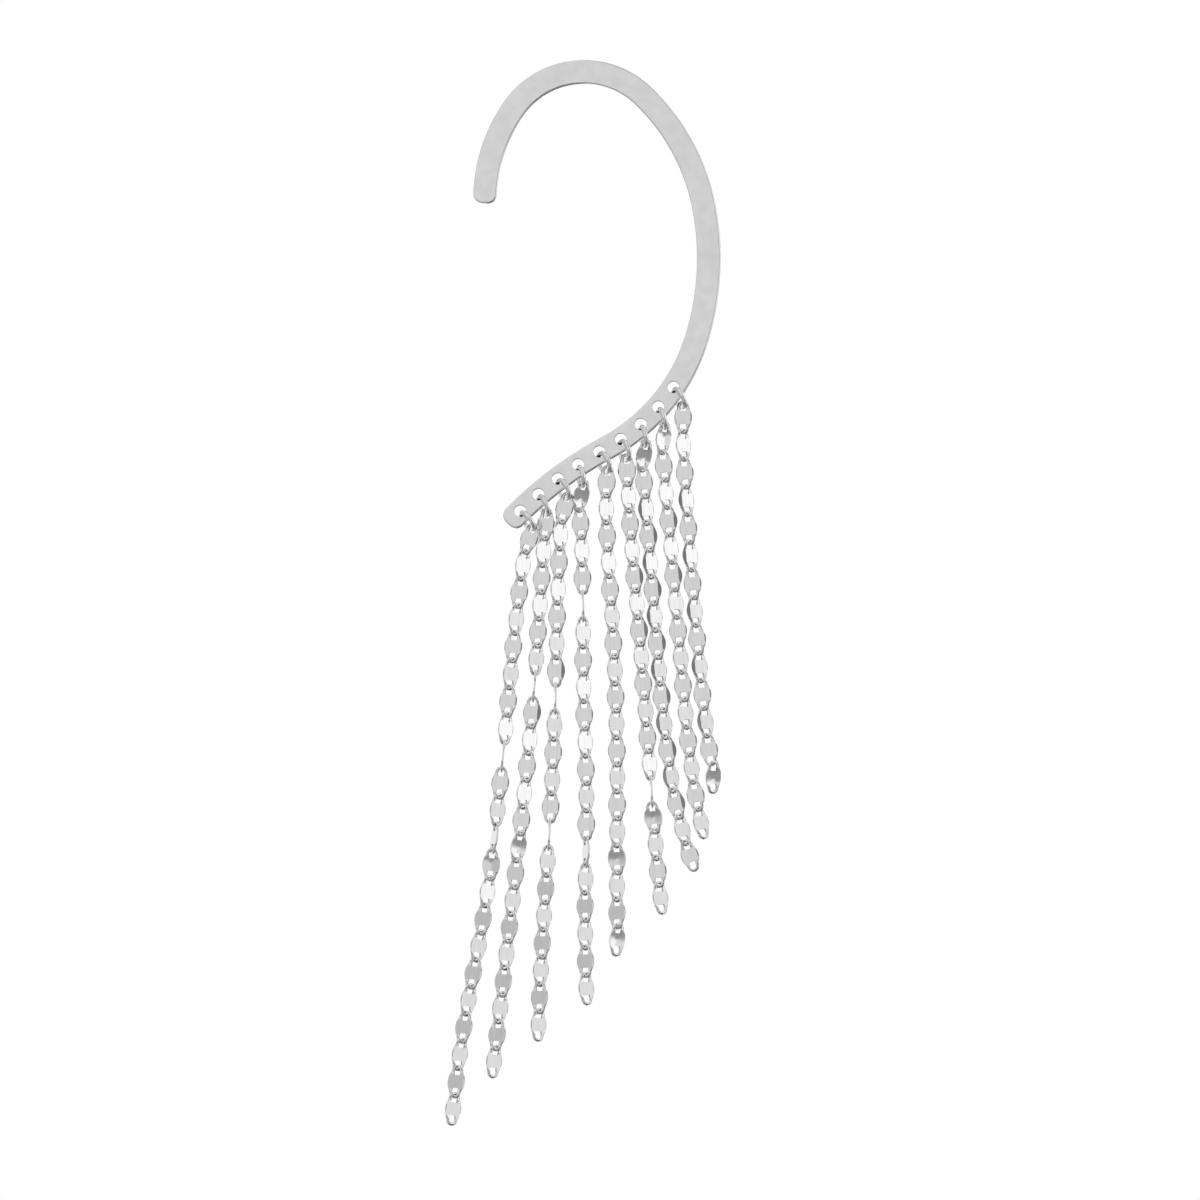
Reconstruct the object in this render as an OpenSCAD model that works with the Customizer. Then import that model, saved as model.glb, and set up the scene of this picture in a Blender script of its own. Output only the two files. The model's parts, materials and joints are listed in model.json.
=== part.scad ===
// Ear chain earring: a flat metal hook worn over the ear, with nine strands of flattened-link chain
// on jump rings. It hangs as it is worn. X is to the right, Z is up and the front faces -Y.
// The origin is the crown's inner edge, which sits on the ear, at half the band's thickness.

/* [Hook] */
// Length of the hook's middle line, between the centres of its two round ends
hook_len = 94.8; // [88:0.2:102]
// Width of the hook's band
band_w = 3; // [2.7:0.05:3.4]
// Thickness of the hook's band
band_t = 0.8; // [0.6:0.05:1]
// Direction of the free end, in degrees up from the right
free_end_aim = 87; // [80:0.5:92]
// How blunt the band's two ends are: 2 is a half circle, more is squarer
end_blunt = 2.6; // [2:0.1:3]

/* [Holes] */
// Diameter of the holes for the jump rings
hole_d = 1.5; // [1.3:0.05:1.6]
// Spacing of the holes along the band
hole_pitch = 3.095; // [2.9:0.005:3.3]
// Distance of the first hole from the centre of the bar's round end
hole_inset = 0.73; // [0.5:0.01:1.2]

/* [Jump rings] */
// Outer diameter of a jump ring
ring_od = 2.85; // [2.7:0.05:3]
// Wire diameter of a jump ring
ring_wire = 0.42; // [0.35:0.01:0.5]
// Clearance between a jump ring and the edge of its hole
ring_gap = 0.15; // [0.12:0.01:0.18]
// Extra play of a strand's first link in its jump ring
ring_play = 0.1; // [0.05:0.01:0.12]

/* [Chain links] */
// Width of a link's flat plate
plate_w = 2.26; // [2.1:0.02:2.4]
// Height of the plate between its two eyes
plate_h = 1.62; // [1.4:0.02:1.8]
// Height at which the plate's bulged sides meet the round wire of the eyes
flat_h = 2.4; // [2.2:0.02:2.6]
// Thickness of the plate
plate_t = 0.25; // [0.18:0.01:0.28]
// Outer width of a link's eye
eye_w = 1.54; // [1.48:0.01:1.6]
// Clear height inside an eye
eye_h = 1.01; // [0.96:0.01:1.2]
// Wire diameter of an eye
eye_wire = 0.3; // [0.24:0.01:0.32]
// Clearance between two interlocked wires
link_gap = 0.155; // [0.14:0.005:0.17]

/* [Strands] */
// Links on the longest strand, the first one; each next strand has one fewer
longest_strand = 22; // [16:1:26]
// Turn of the links that face the viewer most squarely
square_turn = 20; // [18:1:24]
// Turn the other way of the links between them
slant_turn = 37; // [36:1:42]

/* [Hidden] */
$fn = 48;

// The band's bends from the free end to the bar's tip. Each row is one arc.
// Columns: share of the hook's length, degrees turned (plus is clockwise)
HOOK_BENDS = [
    [0.119, 31.8],
    [0.192, 98.9],
    [0.1705, 35.2],
    [0.182, 28.9],
    [0.187, 43.8],
    [0.1495, -17]];

// One row for each strand, from the bar's tip up.
// Columns: lean of its jump ring, the ring's turn to the right, heading of its first link, headings of the
// links below it at the top, the quarters and the end, slack between its links in mm, and how far back
// it lies in mm. Leans and headings are in degrees from straight down, plus is to the right.
STRANDS = [
    [36, 12, -20, [-8, -5, -6, -11, -6], 0.065, 0.03],
    [23, 12, -6.5, [-3.5, -4, -6, -6.5, -6.5], 0.12, 0],
    [26, 20, -15, [-3.5, -1, -2.5, -4, -2], 0.085, -0.15],
    [11, 10, -5.5, [3.5, 0, 2, -1.5, 2], 0.07, -0.07],
    [22, 22, -4, [1, 4, 1.5, -0.5, 0.5], 0.12, 0],
    [15, 22, 2.5, [3, 5, 4.5, 4, 5.5], 0.135, 0],
    [11, 10, -4.5, [4.5, 4.5, 4.5, 7, 17.5], 0.125, 0],
    [16, 10, -4, [4.5, 5, 5, 5, 11.5], 0.035, 0],
    [27, 16, -1, [1.5, 4, 4.5, 5.5, 9], 0.01, 0]];
RING_LEAN = 0;
RING_TURN = 1;
FIRST_HEADING = 2;
HEADINGS = 3;
SLACK = 4;
DEPTH = 5;

// Links that lie unlike the rest, mostly on edge. Columns: strand, link, turn, and 1 where the links
// past it lean the other way
ODD_LINKS = [
    [1, 9, 92, 1],
    [1, 12, 104, 1],
    [2, 7, 92, 1],
    [3, 1, -18, 0],
    [3, 8, 92, 1],
    [3, 13, 92, 1],
    [4, 1, slant_turn, 1],
    [4, 5, 92, 1],
    [4, 14, 104, 1],
    [5, 1, -12, 0],
    [6, 1, -12, 0],
    [6, 13, 92, 1],
    [7, 1, slant_turn, 1],
    [8, 1, slant_turn, 1]];
TURN = 2;
FLIP = 3;

// Where a walk along the band has got to: place and heading at the start of each bend
function aim(a) = [cos(a), sin(a)];
function bend_len(i) = HOOK_BENDS[i][0] * hook_len;
function bend_turn(i) = HOOK_BENDS[i][1];
function bend_r(i) = bend_len(i) / (abs(bend_turn(i)) * PI / 180);
function bend_side(i) = sign(bend_turn(i));
function walk(at, i, turned) =
    let (a = at[1], side = bend_side(i), r = bend_r(i), centre = at[0] + r * side * aim(a - 90))
    [centre - r * side * aim(a - turned - 90), a - turned];
BEND_N = len(HOOK_BENDS);
STARTS = [for (i = 0, at = [[0, 0], free_end_aim]; i <= BEND_N;
    at = i < BEND_N ? walk(at, i, bend_turn(i)) : at, i = i + 1) at];
function past(i) = i == 0 ? 0 : past(i - 1) + bend_len(i - 1);
function bend_at(s, i = 0) = i == BEND_N - 1 || s <= past(i + 1) ? i : bend_at(s, i + 1);
function band_at(s) =
    let (i = bend_at(s), share = (s - past(i)) / bend_len(i))
    walk(STARTS[i], i, share * bend_turn(i));

// Both sides of the band and its round ends, a short chord at a time
bend_step = 2.5;
end_steps = 24;
function bend_steps(i) = ceil(abs(bend_turn(i)) / bend_step);
function stations() = concat(
    [for (i = [0:BEND_N - 1], j = [0:bend_steps(i) - 1])
        walk(STARTS[i], i, j / bend_steps(i) * bend_turn(i))],
    [STARTS[BEND_N]]);
function blunt(v) = sign(v) * pow(abs(v), 2 / end_blunt);
function beside(at, a) = at[0] + band_w / 2 * (blunt(cos(a)) * aim(at[1]) + blunt(sin(a)) * aim(at[1] + 90));
function round_end(at, from) = [for (t = [1:end_steps - 1]) beside(at, from - 180 * t / end_steps)];
function band_outline() =
    let (all = stations(), last = len(all) - 1)
    concat(
        [for (i = [0:last]) beside(all[i], 90)],
        round_end(all[last], 90),
        [for (i = [last:-1:0]) beside(all[i], -90)],
        round_end(all[0], -90));

// The crown is where the band runs level, in its second bend
crown = walk(STARTS[1], 1, STARTS[1][1])[0] - [0, band_w / 2];

// Jump rings: where each one passes its hole and how far down it reaches
ring_r = (ring_od - ring_wire) / 2;
ring_inner_r = ring_od / 2 - ring_wire;
function ring_turn(n) = STRANDS[n - 1][RING_TURN];
function ring_drop(n) =
    let (aside = band_t / 2 * tan(ring_turn(n)), half_pass = band_t / 2 / cos(ring_turn(n)))
    sqrt(pow(hole_d / 2, 2) - pow(aside, 2)) + sqrt(pow(ring_inner_r - ring_gap, 2) - pow(half_pass, 2));
function down(a) = [sin(a), -cos(a)];
function hole(n) = band_at(hook_len - hole_inset - (n - 1) * hole_pitch)[0] - crown;
function ring_lean(n) = STRANDS[n - 1][RING_LEAN];
function ring_centre(n) = hole(n) + ring_drop(n) * down(ring_lean(n));

// Links: each hangs in the one above it, and the first hangs in its jump ring
link_len = plate_h + 2 * (eye_h + eye_wire);
link_pitch = link_len - 2 * eye_wire - link_gap;
eye_r = (eye_w - eye_wire) / 2;
eye_top = plate_h / 2 + eye_h + eye_wire / 2 - eye_r;
leg_root = 0.12;
function link_n(n) = longest_strand + 1 - n;
function heading(n, k) =
    let (row = STRANDS[n - 1], table = row[HEADINGS], t = (len(table) - 1) * (k - 1) / (link_n(n) - 1),
        j = min(floor(t), len(table) - 2))
    k == 1 ? row[FIRST_HEADING] : table[j] + (table[j + 1] - table[j]) * (t - j);
function step(n) = link_pitch - STRANDS[n - 1][SLACK];
function strand_start(n) =
    ring_centre(n) + ring_r * down(ring_lean(n))
    - ((ring_wire + link_gap) / 2 + ring_play) * down(heading(n, 1));
function joints(n) =
    [for (k = 1, p = strand_start(n); k <= link_n(n); p = p + step(n) * down(heading(n, k)), k = k + 1) p];
function odd_rows(n, k) = [for (row = ODD_LINKS) if (row[0] == n && row[1] == k) row];
function flips_before(n, k) =
    len([for (row = ODD_LINKS) if (row[0] == n && row[1] < k && row[FLIP] == 1) row]);
function link_turn(n, k) =
    let (rows = odd_rows(n, k))
    len(rows) > 0 ? rows[0][TURN] : (k + flips_before(n, k)) % 2 == 1 ? -square_turn : slant_turn;

module ear_hook() {
    color("silver")
        rotate([90, 0, 0])
            difference() {
                linear_extrude(band_t, center = true)
                    translate(-crown) polygon(band_outline());
                for (n = [1:len(STRANDS)])
                    translate(hole(n)) cylinder(d = hole_d, h = 2 * band_t, center = true);
            }
}

module jump_ring(n) {
    c = ring_centre(n);
    color("silver")
        translate([c[0], 0, c[1]])
            rotate([0, -ring_lean(n), 0])
                rotate([0, 90, ring_turn(n)])
                    rotate_extrude($fn = 48)
                        translate([ring_r, 0]) circle(d = ring_wire, $fn = 24);
}

// Round wire of one eye: its two legs from the plate's flat sides, and its arch
module eye() {
    translate([0, 0, eye_top])
        rotate([90, 0, 0])
            rotate_extrude(angle = 180, $fn = 32)
                translate([eye_r, 0]) circle(d = eye_wire, $fn = 16);
    leg_foot = flat_h / 2 - leg_root;
    for (x = [-eye_r, eye_r])
        translate([x, 0, leg_foot])
            cylinder(d = eye_wire, h = eye_top - leg_foot, $fn = 16);
}

// Flat middle of a link: bulged sides, with a window in each end where the eye opens
module plate() {
    bulge = (plate_w - eye_w) / 2;
    side_r = (pow(flat_h / 2, 2) + pow(bulge, 2)) / (2 * bulge);
    window_w = eye_w - 2 * eye_wire;
    rotate([90, 0, 0])
        linear_extrude(plate_t, center = true)
            difference() {
                intersection() {
                    translate([side_r - plate_w / 2, 0]) circle(r = side_r, $fn = 96);
                    translate([plate_w / 2 - side_r, 0]) circle(r = side_r, $fn = 96);
                    square([plate_w, flat_h], center = true);
                }
                for (z = [plate_h / 2, -plate_h / 2 - flat_h])
                    translate([-window_w / 2, z]) square([window_w, flat_h]);
            }
}

module chain_link() {
    plate();
    eye();
    mirror([0, 0, 1]) eye();
}

module chain(n) {
    points = joints(n);
    color("gainsboro")
        for (k = [1:link_n(n)]) {
            centre = points[k - 1] + step(n) / 2 * down(heading(n, k));
            translate([centre[0], STRANDS[n - 1][DEPTH], centre[1]])
                rotate([0, -heading(n, k), 0])
                    rotate(link_turn(n, k))
                        chain_link();
        }
}

ear_hook();
jump_ring(1);  // jump_ring_1
jump_ring(2);  // jump_ring_2
jump_ring(3);  // jump_ring_3
jump_ring(4);  // jump_ring_4
jump_ring(5);  // jump_ring_5
jump_ring(6);  // jump_ring_6
jump_ring(7);  // jump_ring_7
jump_ring(8);  // jump_ring_8
jump_ring(9);  // jump_ring_9
chain(1);  // chain_1
chain(2);  // chain_2
chain(3);  // chain_3
chain(4);  // chain_4
chain(5);  // chain_5
chain(6);  // chain_6
chain(7);  // chain_7
chain(8);  // chain_8
chain(9);  // chain_9
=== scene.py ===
"""Ear chain earring: a polished hook, jump rings and nine strands of flat chain, in a pale studio."""

from __future__ import annotations

import json
import logging
import math
from dataclasses import dataclass, field
from enum import Enum

import bmesh
import bpy
from mathutils import Matrix, Vector

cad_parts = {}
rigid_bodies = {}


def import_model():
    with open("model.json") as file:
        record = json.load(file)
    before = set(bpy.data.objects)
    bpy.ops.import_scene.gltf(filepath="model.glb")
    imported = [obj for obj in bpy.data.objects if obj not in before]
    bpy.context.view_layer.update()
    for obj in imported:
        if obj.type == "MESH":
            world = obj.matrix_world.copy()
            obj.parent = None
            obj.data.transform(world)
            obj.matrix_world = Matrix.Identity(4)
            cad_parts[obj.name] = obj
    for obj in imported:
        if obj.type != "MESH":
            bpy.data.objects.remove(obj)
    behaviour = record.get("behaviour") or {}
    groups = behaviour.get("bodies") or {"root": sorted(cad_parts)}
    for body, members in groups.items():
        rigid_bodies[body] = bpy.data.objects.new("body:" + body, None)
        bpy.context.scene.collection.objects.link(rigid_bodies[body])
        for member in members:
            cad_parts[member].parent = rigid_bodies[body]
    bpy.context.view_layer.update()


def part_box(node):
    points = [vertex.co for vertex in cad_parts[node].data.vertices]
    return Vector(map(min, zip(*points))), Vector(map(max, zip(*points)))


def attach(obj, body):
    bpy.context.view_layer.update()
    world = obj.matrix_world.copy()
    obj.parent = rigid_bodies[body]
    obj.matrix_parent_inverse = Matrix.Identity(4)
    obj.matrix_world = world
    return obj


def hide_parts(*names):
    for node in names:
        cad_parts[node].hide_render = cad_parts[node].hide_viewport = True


LOG = logging.getLogger("ear_chain_earring")
MM = 0.001
ONLY_BODY = "root"
# Share of a size within which two places count as one
HAIR = 0.01
# Decimals of a millimetre to which the corners of a link are told apart
CORNER_DIGITS = 4
# How strongly the large faces rule the shading at their edges, of 100
FACE_WEIGHT = 80
WHITE = (1.0, 1.0, 1.0, 1.0)

Colour = tuple[float, float, float]
Point = tuple[float, float]
# Place across and up, and how far the surface lies before and behind the middle
Spot = tuple[float, float, float, float]


class Slot(Enum):
    """The record's material slots."""

    HOOK = "hook_metal"
    RING = "ring_metal"
    CHAIN = "chain_metal"


class Grain(Enum):
    """How the fine marks of a finish run, as stretches along X, Y and Z."""

    EVEN = (1.0, 1.0, 1.0)
    LENGTHWISE = (1.0, 1.0, 0.06)


def heading(degrees: float) -> Vector:
    """The direction in the XZ plane that leans this far from straight down, plus to the right."""
    a = math.radians(degrees)
    return Vector((math.sin(a), 0.0, -math.cos(a)))


def aim(degrees: float) -> Vector:
    """The direction in the XZ plane that points this far up from the right."""
    a = math.radians(degrees)
    return Vector((math.cos(a), 0.0, math.sin(a)))


# Finishes


@dataclass(frozen=True)
class PlatedFinish:
    """Bright silver-coloured plating over a cheaper metal, with the marks that handling leaves, and painted
    shade that darkens it where other surfaces stand near.

    Attributes:
        name: The material's name.
        dull: Colour of the duller patches.
        bright: Colour of the brighter patches.
        patch_per_mm: How many patches of tone fit in a millimetre.
        smooth: Roughness of the smoothest places.
        rough: Roughness of the most worn places.
        wear_per_mm: How many worn places fit in a millimetre.
        grain: The way the fine marks run.
        marks_per_mm: How many fine marks lie side by side in a millimetre.
        mark_depth_mm: Depth of the fine marks.
        mark_strength: How strongly the fine marks bend the light.
        crevice_mm: How near another surface must be for the painted shade of a crevice to show.
        shut: How shut in a place is, from 0, shut, to 1, open, where the painted shade is deepest and where
            it ends.
        painted_shade: Share of the tone that the deepest painted shade leaves.
        burr: Roughness that the walls of punched holes add.
        tone_from: Values of the patches' noise at which the tone is dull and bright.
        wear_from: Values of the worn places' noise at which the finish is smooth and rough.
        detail: Detail in the noise of the patches and the marks.
        wear_detail: Detail in the noise of the worn places.
        crevice_rays: Rays that look for another surface near a place.
    """

    name: str
    dull: Colour
    bright: Colour
    patch_per_mm: float
    smooth: float
    rough: float
    wear_per_mm: float
    grain: Grain
    marks_per_mm: float
    mark_depth_mm: float
    mark_strength: float
    crevice_mm: float
    shut: Point
    painted_shade: float
    burr: float = 0.0
    tone_from: Point = (0.3, 0.7)
    wear_from: Point = (0.35, 0.65)
    detail: float = 2.0
    wear_detail: float = 3.0
    crevice_rays: int = 8

    def material(self) -> bpy.types.Material:
        """Builds the finish as a node material on Object coordinates, with painted shade where other
        surfaces stand near.

        Returns:
            The new material.
        """
        made = bpy.data.materials.new(self.name)
        made.use_nodes = True
        nodes, links = made.node_tree.nodes, made.node_tree.links
        shader = nodes["Principled BSDF"]
        shader.inputs["Metallic"].default_value = 1.0
        place = nodes.new("ShaderNodeTexCoord").outputs["Object"]

        def noise(per_mm: float, detail: float) -> bpy.types.NodeSocket:
            """Adds a noise that runs with the grain.

            Args:
                per_mm: How many of its marks lie side by side in a millimetre.
                detail: How fine its detail goes.

            Returns:
                The socket that gives the noise.
            """
            scaled = nodes.new("ShaderNodeMapping")
            scaled.inputs["Scale"].default_value = [per_mm / MM * s for s in self.grain.value]
            cloud = nodes.new("ShaderNodeTexNoise")
            cloud.inputs["Scale"].default_value = 1.0
            cloud.inputs["Detail"].default_value = detail
            links.new(place, scaled.inputs["Vector"])
            links.new(scaled.outputs["Vector"], cloud.inputs["Vector"])
            return cloud.outputs["Fac"]

        tone = nodes.new("ShaderNodeValToRGB")
        for element, at, colour in zip(tone.color_ramp.elements, self.tone_from, (self.dull, self.bright)):
            element.position = at
            element.color = (*colour, 1.0)
        links.new(noise(self.patch_per_mm, self.detail), tone.inputs["Fac"])

        # Painted shade: the tone is darkened where another surface stands near, in crevices, in the holes
        # and where wires meet at the joints
        near = nodes.new("ShaderNodeAmbientOcclusion")
        near.samples = self.crevice_rays
        near.inputs["Distance"].default_value = self.crevice_mm * MM
        left = nodes.new("ShaderNodeMapRange")
        left.interpolation_type = "SMOOTHSTEP"
        left.inputs["From Min"].default_value = self.shut[0]
        left.inputs["From Max"].default_value = self.shut[1]
        left.inputs["To Min"].default_value = self.painted_shade
        links.new(near.outputs["AO"], left.inputs["Value"])
        shaded_tone = nodes.new("ShaderNodeVectorMath")
        shaded_tone.operation = "SCALE"
        links.new(tone.outputs["Color"], shaded_tone.inputs[0])
        links.new(left.outputs["Result"], shaded_tone.inputs["Scale"])
        links.new(shaded_tone.outputs["Vector"], shader.inputs["Base Color"])

        wear = nodes.new("ShaderNodeMapRange")
        wear.inputs["From Min"].default_value = self.wear_from[0]
        wear.inputs["From Max"].default_value = self.wear_from[1]
        wear.inputs["To Min"].default_value = self.smooth
        wear.inputs["To Max"].default_value = self.rough
        links.new(noise(self.wear_per_mm, self.wear_detail), wear.inputs["Value"])
        roughness = wear.outputs["Result"]
        if self.burr:
            punched = nodes.new("ShaderNodeAttribute")
            punched.attribute_name = "punched"
            burred = nodes.new("ShaderNodeMath")
            burred.operation = "MULTIPLY_ADD"
            burred.inputs[1].default_value = self.burr
            links.new(punched.outputs["Fac"], burred.inputs[0])
            links.new(roughness, burred.inputs[2])
            roughness = burred.outputs[0]
        links.new(roughness, shader.inputs["Roughness"])

        marks = nodes.new("ShaderNodeBump")
        marks.inputs["Strength"].default_value = self.mark_strength
        marks.inputs["Distance"].default_value = self.mark_depth_mm * MM
        links.new(noise(self.marks_per_mm, self.detail), marks.inputs["Height"])
        links.new(marks.outputs["Normal"], shader.inputs["Normal"])
        return made


@dataclass(frozen=True)
class PaleFloor:
    """Matt pale paint under the earring.

    Attributes:
        name: The material's name.
        shade: Colour of the paint.
        speckle: How far the tone wanders up and down.
        speckle_scale: Scale of the noise that the tone follows.
        roughness: Roughness of the paint.
    """

    name: str = "pale_floor_paint"
    shade: Colour = (0.86, 0.86, 0.86)
    speckle: float = 0.02
    speckle_scale: float = 6.0
    roughness: float = 0.9

    def material(self) -> bpy.types.Material:
        """Builds the paint as a node material.

        Returns:
            The new material.
        """
        made = bpy.data.materials.new(self.name)
        made.use_nodes = True
        nodes, links = made.node_tree.nodes, made.node_tree.links
        shader = nodes["Principled BSDF"]
        shader.inputs["Roughness"].default_value = self.roughness
        cloud = nodes.new("ShaderNodeTexNoise")
        cloud.inputs["Scale"].default_value = self.speckle_scale
        tone = nodes.new("ShaderNodeValToRGB")
        tone.color_ramp.elements[0].color = (*[c - self.speckle for c in self.shade], 1.0)
        tone.color_ramp.elements[1].color = (*[c + self.speckle for c in self.shade], 1.0)
        links.new(nodes.new("ShaderNodeTexCoord").outputs["Object"], cloud.inputs["Vector"])
        links.new(cloud.outputs["Fac"], tone.inputs["Fac"])
        links.new(tone.outputs["Color"], shader.inputs["Base Color"])
        return made


HOOK_PLATING = PlatedFinish(
    name="hook_plating",
    dull=(0.87, 0.87, 0.88),
    bright=(0.92, 0.92, 0.93),
    patch_per_mm=0.12,
    smooth=0.2,
    rough=0.27,
    wear_per_mm=0.8,
    grain=Grain.EVEN,
    marks_per_mm=3.0,
    mark_depth_mm=0.004,
    mark_strength=0.1,
    # Painted shade in the crevices, where the rings pass through the holes
    crevice_mm=0.3,
    shut=(0.3, 0.8),
    painted_shade=0.7,
    burr=0.45,
)
RING_PLATING = PlatedFinish(
    name="ring_plating",
    dull=(0.86, 0.86, 0.87),
    bright=(0.96, 0.96, 0.97),
    patch_per_mm=0.9,
    smooth=0.08,
    rough=0.16,
    wear_per_mm=2.0,
    grain=Grain.EVEN,
    marks_per_mm=5.0,
    mark_depth_mm=0.003,
    mark_strength=0.12,
    # Painted shade in the crevices, deep where the rings meet the hook and the first links
    crevice_mm=0.5,
    shut=(0.2, 0.5),
    painted_shade=0.06,
)
CHAIN_PLATING = PlatedFinish(
    name="chain_plating",
    dull=(0.8, 0.8, 0.81),
    bright=(0.87, 0.87, 0.88),
    patch_per_mm=4.0,
    smooth=0.08,
    rough=0.14,
    wear_per_mm=2.2,
    grain=Grain.LENGTHWISE,
    marks_per_mm=3.5,
    mark_depth_mm=0.006,
    mark_strength=0.25,
    # Painted shade in the crevices, deep where the wires of two links meet at each joint
    crevice_mm=0.45,
    shut=(0.4, 0.8),
    painted_shade=0.06,
)


# Geometry Nodes bench


class NodeBench:
    """Builds one Geometry Nodes tree with named inputs, and grows meshes with it."""

    def __init__(self, name: str) -> None:
        """Starts a tree that takes and gives geometry.

        Args:
            name: The tree's name.
        """
        self.tree = bpy.data.node_groups.new(name, "GeometryNodeTree")
        self.sockets: dict[str, str] = {}
        self.add_input("Geometry", "NodeSocketGeometry")
        self.tree.interface.new_socket(name="Geometry", in_out="OUTPUT", socket_type="NodeSocketGeometry")
        self.inputs = self.tree.nodes.new("NodeGroupInput")
        self.outputs = self.tree.nodes.new("NodeGroupOutput")

    def add_input(self, name: str, kind: str) -> None:
        """Adds a named input.

        Args:
            name: The input's name.
            kind: The socket's type.
        """
        item = self.tree.interface.new_socket(name=name, in_out="INPUT", socket_type=kind)
        self.sockets[name] = item.identifier

    def given(self, name: str) -> bpy.types.NodeSocket:
        """The socket inside the tree that carries a named input."""
        return self.inputs.outputs[name]

    def node(self, kind: str, feeds: dict[str, object] | None = None, **settings: object) -> bpy.types.Node:
        """Adds a node, sets it up and feeds its inputs.

        Args:
            kind: The node's type.
            feeds: Input name or number to a value, or to the socket that feeds it.
            **settings: Properties of the node.

        Returns:
            The new node.
        """
        made = self.tree.nodes.new(kind)
        for name, value in settings.items():
            setattr(made, name, value)
        for key, value in (feeds or {}).items():
            socket = made.inputs[key]
            if isinstance(value, bpy.types.NodeSocket):
                self.tree.links.new(value, socket)
            else:
                socket.default_value = value
        return made

    def finish_with(self, geometry: bpy.types.NodeSocket) -> None:
        """Ends the tree with real geometry in the finish that the Finish input names.

        Args:
            geometry: The socket that carries the instances.
        """
        real = self.node("GeometryNodeRealizeInstances", {"Geometry": geometry})
        smooth = self.node("GeometryNodeSetShadeSmooth", {"Geometry": real.outputs["Geometry"]})
        dressed = self.node(
            "GeometryNodeSetMaterial",
            {"Geometry": smooth.outputs["Geometry"], "Material": self.given("Finish")},
        )
        self.tree.links.new(dressed.outputs["Geometry"], self.outputs.inputs["Geometry"])

    def grow(self, piece: bpy.types.Object, feeds: dict[str, object]) -> None:
        """Runs the tree on a piece, and leaves a plain mesh there with no modifier.

        Args:
            piece: The object whose mesh seeds the tree.
            feeds: Input name to value.
        """
        modifier = piece.modifiers.new(self.tree.name, "NODES")
        modifier.node_group = self.tree
        for name, value in feeds.items():
            modifier[self.sockets[name]] = value
        weigh_normals(piece)
        settle(piece)


def weigh_normals(piece: bpy.types.Object) -> None:
    """Lets large faces rule the shading at their edges.

    Args:
        piece: The object that gets the modifier.
    """
    weight = piece.modifiers.new("even_normals", "WEIGHTED_NORMAL")
    weight.mode = "FACE_AREA"
    weight.weight = FACE_WEIGHT
    weight.keep_sharp = True


def settle(piece: bpy.types.Object) -> None:
    """Turns a piece and its modifiers into a plain mesh, in place.

    Args:
        piece: The object to settle.
    """
    graph = bpy.context.evaluated_depsgraph_get()
    mesh = bpy.data.meshes.new_from_object(
        piece.evaluated_get(graph), preserve_all_data_layers=True, depsgraph=graph
    )
    piece.modifiers.clear()
    seed = piece.data
    piece.data = mesh
    mesh.name = piece.name
    bpy.data.meshes.remove(seed)


def new_piece(name: str, mesh: bpy.types.Mesh) -> bpy.types.Object:
    """Makes an object for a mesh and links it to the scene.

    Args:
        name: The piece's name.
        mesh: Its mesh.

    Returns:
        The new object.
    """
    piece = bpy.data.objects.new(name, mesh)
    bpy.context.scene.collection.objects.link(piece)
    return piece


def hand_over(piece: bpy.types.Object, node: str) -> None:
    """Scales a finished piece from millimetres to metres and puts it in the frame.

    Args:
        piece: The finished piece, a plain mesh in millimetres.
        node: The CAD node that it stands for.
    """
    piece.data.transform(Matrix.Scale(MM, 4))
    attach(piece, ONLY_BODY)
    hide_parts(node)
    low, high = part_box(node)
    corners = [v.co for v in piece.data.vertices]
    apart = 0.0
    for axis in range(3):
        places = [corner[axis] for corner in corners]
        apart = max(apart, abs(min(places) - low[axis]), abs(max(places) - high[axis]))
    faces = len(piece.data.polygons)
    LOG.info("%s stands for %s, %d faces, within %.2f mm of it", piece.name, node, faces, apart / MM)


# The hook


@dataclass(frozen=True)
class Bend:
    """One arc of the band: its share of the hook's length and the degrees it turns, plus clockwise."""

    share: float
    turn: float


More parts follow.
